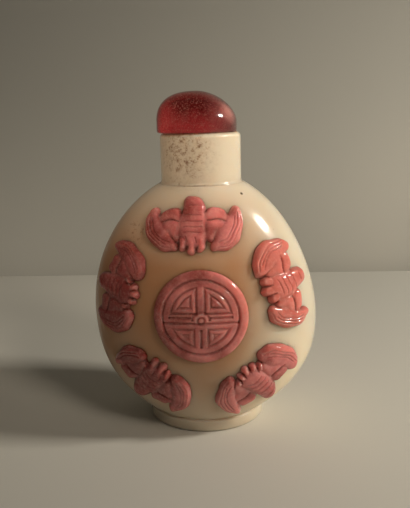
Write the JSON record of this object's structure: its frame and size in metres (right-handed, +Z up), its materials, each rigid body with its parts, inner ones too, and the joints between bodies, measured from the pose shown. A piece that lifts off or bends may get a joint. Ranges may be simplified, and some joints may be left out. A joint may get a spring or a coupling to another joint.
{
  "type": "snuff bottle",
  "caption": "Small flattened snuff bottle of white cased glass with carved rose overlay bats round a fret medallion, straight neck, oval foot and domed ruby glass stopper on a cork",
  "frame": {"origin": "middle of the overall box in plan, on the table under the foot", "axes": "+Z runs up from the foot through the neck and is the longest; -Y is the front face, and the body is widest along X"},
  "size_m": [0.0444, 0.0308, 0.0649],
  "materials": {
    "white_milk_glass": "polished milk glass, opaque, a little translucent at thin edges",
    "rose_overlay_glass": "carved and polished overlay glass fused on the bottle",
    "ruby_glass": "polished ruby glass with small bubbles",
    "cork": "plain cut cork"
  },
  "bodies": {
    "root": {"bottle": "white_milk_glass", "stopper": "ruby_glass", "stopper_cork": "cork"}
  },
  "joints": []
}
